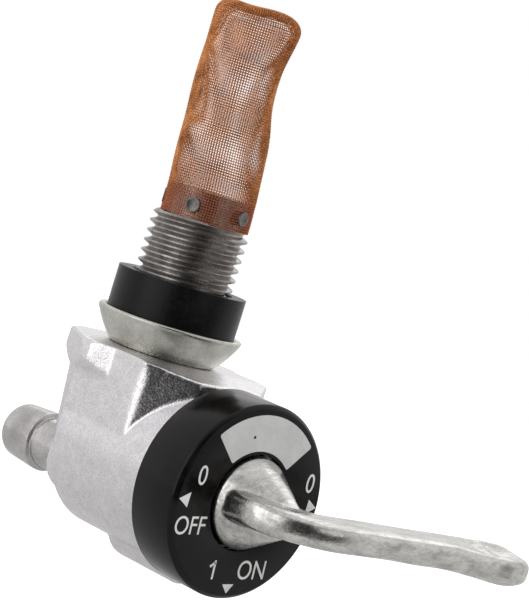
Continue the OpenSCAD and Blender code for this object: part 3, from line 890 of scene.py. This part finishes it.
@dataclass
class Dial:
    """The black dial cap with its silver field, arrows and letters."""

    axis_z: float = -22.9
    front: float = -23.5
    back: float = -15.9
    rim_r: float = 12.7
    inner_r: float = 11.55
    sheet: float = 1.1
    hole_r: float = 6.3
    edge: float = 0.55
    print_h: float = 0.03
    field_r: tuple[float, float] = (6.75, 11.45)
    field_from: float = 46.6
    field_to: float = 137.2
    prick_at: Point = (-2.51, 8.33)
    prick_r: float = 0.2
    arrow_r: float = 1.12
    letter_lean: float = 5.0
    narrow: float = 0.88

    def build(self, black: bpy.types.Material, silver: bpy.types.Material, ink: bpy.types.Material) -> None:
        """Builds the cap and its marks and hands them over."""
        back = self.front + self.sheet
        cap = turn([(self.inner_r, self.back), (self.rim_r, self.back), (self.rim_r, self.front + self.edge),
                    (self.rim_r - self.edge, self.front), (self.hole_r, self.front), (self.hole_r, back),
                    (self.inner_r, back)], Turning.ABOUT_Y, self.axis_z)
        soften(cap, 0.18)
        smooth(cap, 30.0)
        hand_over(cap, "dial_cap_shell", Body.HOUSING, black, ["dial_cap"])
        hand_over(self._field(), "dial_silver_field", Body.HOUSING, silver)
        hand_over(self._arrows(), "dial_arrows", Body.HOUSING, ink)
        hand_over(self._letters(), "dial_letters", Body.HOUSING, ink)

    def _stand(self, piece: bpy.types.Object, place: Point = (0.0, 0.0), degrees: float = 0.0,
               stretch: tuple[float, float, float] = (1.0, 1.0, 1.0)) -> None:
        """Puts a flat piece on the dial face.

        Args:
            piece: The piece, drawn in X and Y.
            place: Its place on the face in millimetres.
            degrees: How far it is turned.
            stretch: Its stretch before it is turned.
        """
        piece.matrix_world = (Matrix.Translation(Vector((0, self.front, self.axis_z)) * MM)
                              @ Matrix.Rotation(math.pi / 2, 4, "X")
                              @ Matrix.Translation(Vector((*place, 0)) * MM)
                              @ Matrix.Rotation(math.radians(degrees), 4, "Z") @ Matrix.Diagonal((*stretch, 1.0)))
        settle(piece)

    def _field(self) -> bpy.types.Object:
        """Draws the silver field as a ring sector.

        Returns:
            The field as a thin plate.
        """
        low, high = math.radians(self.field_from), math.radians(self.field_to)
        piece = draw_out([Vector((r * math.cos(low), r * math.sin(low), 0)) * MM for r in self.field_r])
        bpy.ops.mesh.select_all(action="SELECT")
        bpy.ops.mesh.spin(steps=40, angle=high - low, center=(0, 0, 0), axis=(0, 0, -1))
        bpy.ops.object.mode_set(mode="OBJECT")
        tidy(piece)
        ends = [Vector((r * math.cos(a), r * math.sin(a), 0)) for r in self.field_r for a in (low, high)]
        pick(piece, lambda v: min((v - end).length for end in ends) < 0.02)
        bpy.ops.mesh.bevel(offset=0.3 * MM, segments=4, affect="VERTICES")
        bpy.ops.object.mode_set(mode="OBJECT")
        modify(piece, "SOLIDIFY", thickness=self.print_h * MM, offset=0.0)
        # A pin prick in the field shows the black under it
        bpy.ops.object.select_all(action="DESELECT")
        bpy.ops.mesh.primitive_cylinder_add(vertices=24, radius=self.prick_r * MM, depth=MM,
                                            location=Vector((*self.prick_at, 0)) * MM)
        prick = bpy.context.object
        modify(piece, "BOOLEAN", operation="DIFFERENCE", object=prick, solver="EXACT")
        bpy.data.objects.remove(prick)
        self._stand(piece)
        return piece

    def _arrows(self) -> bpy.types.Object:
        """Draws the three arrows that name the lever's places.

        Returns:
            The arrows as one thin piece.
        """
        marks = []
        for x, y, heading, length in ((-10.8, -0.65, 180.0, 1.0), (10.9, 0.7, 0.0, 1.0), (0.72, -10.98, 275.0, 0.72)):
            bpy.ops.object.select_all(action="DESELECT")
            bpy.ops.mesh.primitive_cylinder_add(vertices=3, radius=self.arrow_r * MM, depth=self.print_h * MM)
            mark = bpy.context.object
            self._stand(mark, (x, y), heading - 90.0, (1.0, length, 1.0))
            marks.append(mark)
        return join(marks)

    def _letters(self) -> bpy.types.Object:
        """Writes the generic marks: OFF, ON and the numbers of the places.

        Returns:
            The letters as one thin piece.
        """
        words = (("0", -9.15, 2.46, 2.6), ("OFF", -8.75, -3.92, 2.45), ("1", -2.5, -9.1, 2.6),
                 ("ON", 4.07, -8.56, 2.6), ("0", 9.7, 3.6, 2.6))
        marks = []
        for text, x, y, size in words:
            curve = bpy.data.curves.new("letters", "FONT")
            curve.body = text
            curve.size = size * 1.38 * MM
            curve.align_x = "CENTER"
            curve.align_y = "CENTER"
            curve.extrude = self.print_h / 2 * MM
            curve.resolution_u = 6
            mark = bpy.data.objects.new("letters", curve)
            bpy.context.scene.collection.objects.link(mark)
            only(mark)
            bpy.ops.object.convert(target="MESH")
            mark = bpy.context.object
            self._stand(mark, (x, y), self.letter_lean, (self.narrow, 1.0, 1.0))
            marks.append(mark)
        # The flag of the figure one
        bpy.ops.object.select_all(action="DESELECT")
        bpy.ops.mesh.primitive_cube_add(size=MM)
        flag = bpy.context.object
        self._stand(flag, (-2.95, -8.3), 40.0, (0.95, 0.34, self.print_h))
        return join([*marks, flag])


@dataclass
class Lever:
    """The cast lever with its hub, bent arm and thumb dish."""

    voxel: float = 0.14
    passes: int = 4
    flow_passes: int = 40
    dish_x: float = 29.5
    face: float = -23.9
    axis_z: float = -22.9
    nose_x: float = 38.5
    nose_passes: int = 50
    drawn_out: float = 0.25
    flare: float = 0.45
    arm_x: float = 10.0
    arm_y: float = -27.9
    arm_below: float = 2.0
    arm_thick: float = 3.7
    kept: float = 0.6

    def build(self, metal: bpy.types.Material) -> None:
        """Builds the lever from the CAD lever, with flowing edges short of the thumb dish."""
        piece = copy_node("lever")
        recast(piece, self.voxel, self.passes)
        group = piece.vertex_groups.new(name="flowing")
        for vertex in piece.data.vertices:
            x, y, _ = vertex.co / MM
            if y < self.face:
                share = min(1.0, max(0.0, (self.dish_x - x) / 2.0)) * min(1.0, (self.face - y) / 0.8)
                group.add([vertex.index], share, "REPLACE")
        iron(piece, self.flow_passes, "flowing")
        self._nod(piece)
        thin_out(piece, self.kept)
        hand_over(piece, "lever_casting", Body.LEVER, metal, ["lever"])

    def _nod(self, piece: bpy.types.Object) -> None:
        """Bends the end of the arm down, more along its front edge, and rounds its nose."""
        nod, nose, reach, flare = (piece.vertex_groups.new(name=name) for name in ("nod", "nose", "reach", "flare"))
        for vertex in piece.data.vertices:
            x, y, z = vertex.co / MM
            if y > self.arm_y or x < self.arm_x:
                continue
            # How far the upper and the lower side of the arm sink, in millimetres
            upper = 0.1 * ease(x, 12.0, 20.0) + 0.72 * ease(x, 24.0, 35.0) * ease(-y, 30.4, 36.4)
            upper += 0.5 * ease(x, 39.0, 43.0)
            lower = 0.22 * ease(x, 12.0, 20.0) + 0.5 * ease(x, 22.0, 32.0) - 0.45 * ease(x, 34.5, 41.0)
            height = min(1.0, max(0.0, (z - self.axis_z + self.arm_below) / self.arm_thick))
            nod.add([vertex.index], lower + (upper - lower) * height, "REPLACE")
            nose.add([vertex.index], ease(x, self.nose_x, self.nose_x + 2.0), "REPLACE")
            reach.add([vertex.index], self.drawn_out * ease(x, self.nose_x - 2.0, self.nose_x + 3.0), "REPLACE")
            flare.add([vertex.index], self.flare * ease(x, 33.5, 37.5) * ease(-y, 33.5, 36.5), "REPLACE")
        modify(piece, "DISPLACE", direction="Z", strength=-MM, mid_level=0.0, vertex_group="nod")
        iron(piece, self.nose_passes, "nose")
        modify(piece, "DISPLACE", direction="X", strength=MM, mid_level=0.0, vertex_group="reach")
        modify(piece, "DISPLACE", direction="Y", strength=-MM, mid_level=0.0, vertex_group="flare")


@dataclass
class HoseNozzle:
    """The turned nozzle with its barb."""

    axis_z: float = -27.25
    seat: float = 4.2
    tube_r: float = 3.5
    shoulder: float = 16.0
    barb_r: float = 4.15
    tip_r: float = 3.72
    tip: float = 22.9
    bore_r: float = 2.4

    def build(self, metal: bpy.types.Material) -> None:
        """Builds the nozzle and hands it over."""
        piece = turn([(self.bore_r, self.seat), (self.tube_r, self.seat), (self.tube_r, self.shoulder),
                      (self.barb_r, self.shoulder + 0.08), (self.barb_r, self.shoulder + 0.75),
                      (self.tip_r + 0.1, self.tip - 1.0), (self.tip_r - 0.25, self.tip - 0.35),
                      (self.tip_r - 0.75, self.tip), (self.bore_r, self.tip)], Turning.ABOUT_Y, self.axis_z)
        soften(piece, 0.16, degrees=18.0)
        smooth(piece, 40.0)
        hand_over(piece, "hose_nozzle_tube", Body.HOUSING, metal, ["hose_nozzle"])


@dataclass
class Studio:
    """Camera, lamps, pale floor and white background."""

    azimuth: float = -45.09
    elevation: float = 3.37
    roll: float = 17.31
    place: tuple[float, float, float] = (-196.63, -211.45, 17.91)
    lens: float = 132.0
    floor_z: float = -46.0
    floor_r: float = 330.0
    floor_at: tuple[float, float] = (150.0, 170.0)
    floor_glow: float = 0.78
    mirrored: float = 0.1
    ambient: float = 0.8
    # The white room, and its dark side, as mirrors show them
    room_level: float = 0.82
    dark_level: float = 0.01
    dark_side: tuple[float, float, float] = (-0.34, -0.94, 0.0)
    dark_from: float = 0.3
    dark_full: float = 0.75

    def build(self) -> None:
        """Builds the camera, the lamps, the floor and the world."""
        self._camera()
        self._lamp("key_lamp", (-430, -60, 75), 400, 0.43)
        self._lamp("front_lamp", (60, -420, 160), 300, 0.2)
        self._lamp("rim_lamp", (240, 190, 260), 340, 0.2)
        self._floor()
        self._world()
        scene = bpy.context.scene
        scene.view_settings.view_transform = "Standard"

    def _camera(self) -> None:
        """Sets the camera at the photograph's angle."""
        a, e, r = (math.radians(v) for v in (self.azimuth, self.elevation, self.roll))
        back = Vector((math.sin(a) * math.cos(e), -math.cos(a) * math.cos(e), math.sin(e)))
        right = Vector((math.cos(a), math.sin(a), 0.0))
        up = back.cross(right)
        across = right * math.cos(r) + up * math.sin(r)
        upward = up * math.cos(r) - right * math.sin(r)
        data = bpy.data.cameras.new("camera")
        data.lens = self.lens
        data.sensor_width = 36.0
        data.clip_start = 0.01
        data.clip_end = 10.0
        camera = bpy.data.objects.new("camera", data)
        bpy.context.scene.collection.objects.link(camera)
        turned = Matrix((across, upward, back)).transposed().to_4x4()
        camera.matrix_world = Matrix.Translation(Vector(self.place) * MM) @ turned
        bpy.context.scene.camera = camera

    def _lamp(self, name: str, place: tuple[float, float, float], size: float, watts: float) -> None:
        """Adds a soft lamp that points at the tap.

        Args:
            name: Name of the lamp.
            place: Its place in millimetres.
            size: Its width in millimetres.
            watts: Its power.
        """
        data = bpy.data.lights.new(name, "AREA")
        data.size = size * MM
        data.energy = watts
        lamp = bpy.data.objects.new(name, data)
        bpy.context.scene.collection.objects.link(lamp)
        lamp.location = Vector(place) * MM
        aim = Vector((0, -10, -5)) * MM - lamp.location
        lamp.rotation_euler = aim.to_track_quat("-Z", "Y").to_euler()

    def _shown(self, tree: bpy.types.NodeTree) -> bpy.types.NodeSocket:
        """Gives 1 for the rays that see the background in a mirror or through glass, else 0."""
        rays = tree.nodes.new("ShaderNodeLightPath")
        seen = tree.nodes.new("ShaderNodeMath")
        seen.operation = "MAXIMUM"
        tree.links.new(rays.outputs["Is Glossy Ray"], seen.inputs[0])
        tree.links.new(rays.outputs["Is Transmission Ray"], seen.inputs[1])
        return seen.outputs[0]

    def _floor(self) -> None:
        """Lays the pale floor, a round sheet that is white to the camera and to mirrors."""
        bpy.ops.object.select_all(action="DESELECT")
        bpy.ops.mesh.primitive_circle_add(vertices=ROUND_STEPS, radius=self.floor_r * MM, fill_type="NGON",
                                          location=Vector((*self.floor_at, self.floor_z)) * MM)
        floor = bpy.context.object
        floor.name = "floor"
        graph = Graph("floor_paper")
        speck = graph.noise(graph.place(Turning.NONE), 6.0, 3.0)
        colour = graph.blend(speck, (0.6, 0.6, 0.6), (0.64, 0.64, 0.64))
        graph.finish(colour, graph.spread(speck, 0.3, 0.7, 0.8, 0.9), graph.bump(speck, 0.05), 0.0)
        rays = graph.add("ShaderNodeLightPath")
        mirrored = graph.math("MULTIPLY", self._shown(graph.tree), self.mirrored)
        seen = graph.math("MAXIMUM", rays.outputs["Is Camera Ray"], mirrored)
        graph.link(seen, graph.shader.inputs["Emission Strength"])
        graph.shader.inputs["Emission Color"].default_value = (*[self.floor_glow] * 3, 1.0)
        floor.data.materials.append(graph.material)

    def _world(self) -> None:
        """Makes the background white to the camera, and to mirrors too, apart from the dark room in front."""
        world = bpy.data.worlds.new("studio")
        bpy.context.scene.world = world
        world.use_nodes = True
        tree = world.node_tree
        shader = tree.nodes["Background"]
        shader.inputs["Color"].default_value = (1.0, 1.0, 1.0, 1.0)
        rays = tree.nodes.new("ShaderNodeLightPath")
        place = tree.nodes.new("ShaderNodeTexCoord")
        facing = tree.nodes.new("ShaderNodeVectorMath")
        facing.operation = "DOT_PRODUCT"
        facing.inputs[1].default_value = self.dark_side
        tree.links.new(place.outputs["Generated"], facing.inputs[0])
        room = tree.nodes.new("ShaderNodeMapRange")
        tree.links.new(facing.outputs["Value"], room.inputs["Value"])
        for name, number in (("From Min", self.dark_from), ("From Max", self.dark_full),
                             ("To Min", self.room_level), ("To Max", self.dark_level)):
            room.inputs[name].default_value = number
        ambient = tree.nodes.new("ShaderNodeMix")
        ambient.data_type = "FLOAT"
        tree.links.new(self._shown(tree), ambient.inputs[0])
        ambient.inputs[2].default_value = self.ambient
        tree.links.new(room.outputs["Result"], ambient.inputs[3])
        level = tree.nodes.new("ShaderNodeMath")
        level.operation = "MAXIMUM"
        tree.links.new(rays.outputs["Is Camera Ray"], level.inputs[0])
        tree.links.new(ambient.outputs[0], level.inputs[1])
        tree.links.new(level.outputs[0], shader.inputs["Strength"])


ZINC = MetalFinish("zinc_casting", (0.93, 0.905, 0.925), (0.68, 0.655, 0.675), polished=0.18, dull=0.3,
                   stain=1.8, grain=0.26, relief=0.036, swell=0.05, cloud=0.35)
STUD = MetalFinish("stud_metal", (0.5, 0.48, 0.46), (0.22, 0.2, 0.19), polished=0.22, dull=0.4,
                   stain=3.0, grain=0.3, relief=0.012, turning=Turning.ABOUT_Z, ring=0.22, ring_relief=0.01)
PEG = MetalFinish("peg_metal", (0.24, 0.23, 0.22), (0.12, 0.115, 0.11), polished=0.35, dull=0.5,
                  stain=1.0, grain=0.2, relief=0.02)
PLATED = MetalFinish("plated_steel", (0.68, 0.68, 0.62), (0.5, 0.5, 0.45), polished=0.2, dull=0.36,
                     stain=4.0, grain=0.4, relief=0.01, turning=Turning.ABOUT_Z, ring=0.35, ring_relief=0.012)
NOZZLE = MetalFinish("nozzle_metal", (0.68, 0.65, 0.65), (0.42, 0.4, 0.4), polished=0.14, dull=0.3,
                     stain=3.5, grain=0.35, relief=0.012, turning=Turning.ABOUT_Y, axis=-27.25, ring_relief=0.012)
LEVER = MetalFinish("lever_metal", (0.76, 0.75, 0.72), (0.42, 0.41, 0.39), polished=0.16, dull=0.34,
                    stain=1.3, grain=0.3, relief=0.02, swell=0.02, drawn=3.0)
SILVER = MetalFinish("silver_field", (0.69, 0.69, 0.68), (0.6, 0.6, 0.59), polished=0.42, dull=0.58,
                     stain=2.5, grain=0.3, relief=0.01, metallic=0.3)
INK = PaintFinish("white_ink", (0.78, 0.78, 0.77), (0.6, 0.6, 0.6), polished=0.4, dull=0.55,
                  grain=0.4, relief=0.01)
BLACK = PaintFinish("black_cap", (0.003, 0.0028, 0.0028), (0.009, 0.007, 0.0065), polished=0.12, dull=0.26,
                    grain=0.3, relief=0.004, turning=Turning.ABOUT_Y, axis=-22.9, band_relief=0.012, mirror=0.22)
RUBBER = PaintFinish("black_rubber", (0.003, 0.003, 0.0035), (0.008, 0.0075, 0.0075), polished=0.26, dull=0.44,
                     grain=0.5, relief=0.02, turning=Turning.ABOUT_Z, band=0.8, band_relief=0.015, mirror=0.2)
WIRE = WireFinish()


def main() -> None:
    """Builds the studio and the pieces in order."""
    logging.basicConfig(level=logging.INFO, format="%(name)s %(message)s")
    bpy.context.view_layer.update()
    Studio().build()
    plated, rubber = PLATED.material(), RUBBER.material()
    CastBody().build(ZINC.material())
    TankStud().build(STUD.material())
    TankSeal().build(plated, rubber)
    FilterBag().build(WIRE.material(), PEG.material())
    Dial().build(BLACK.material(), SILVER.material(), INK.material())
    Lever().build(LEVER.material())
    HoseNozzle().build(NOZZLE.material())
    for name, material in (("valve_seal", rubber), ("wave_spring", plated)):
        dress(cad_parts[name], material)
        LOG.info("%s keeps its CAD shape", name)


if __name__ == "__main__":
    main()
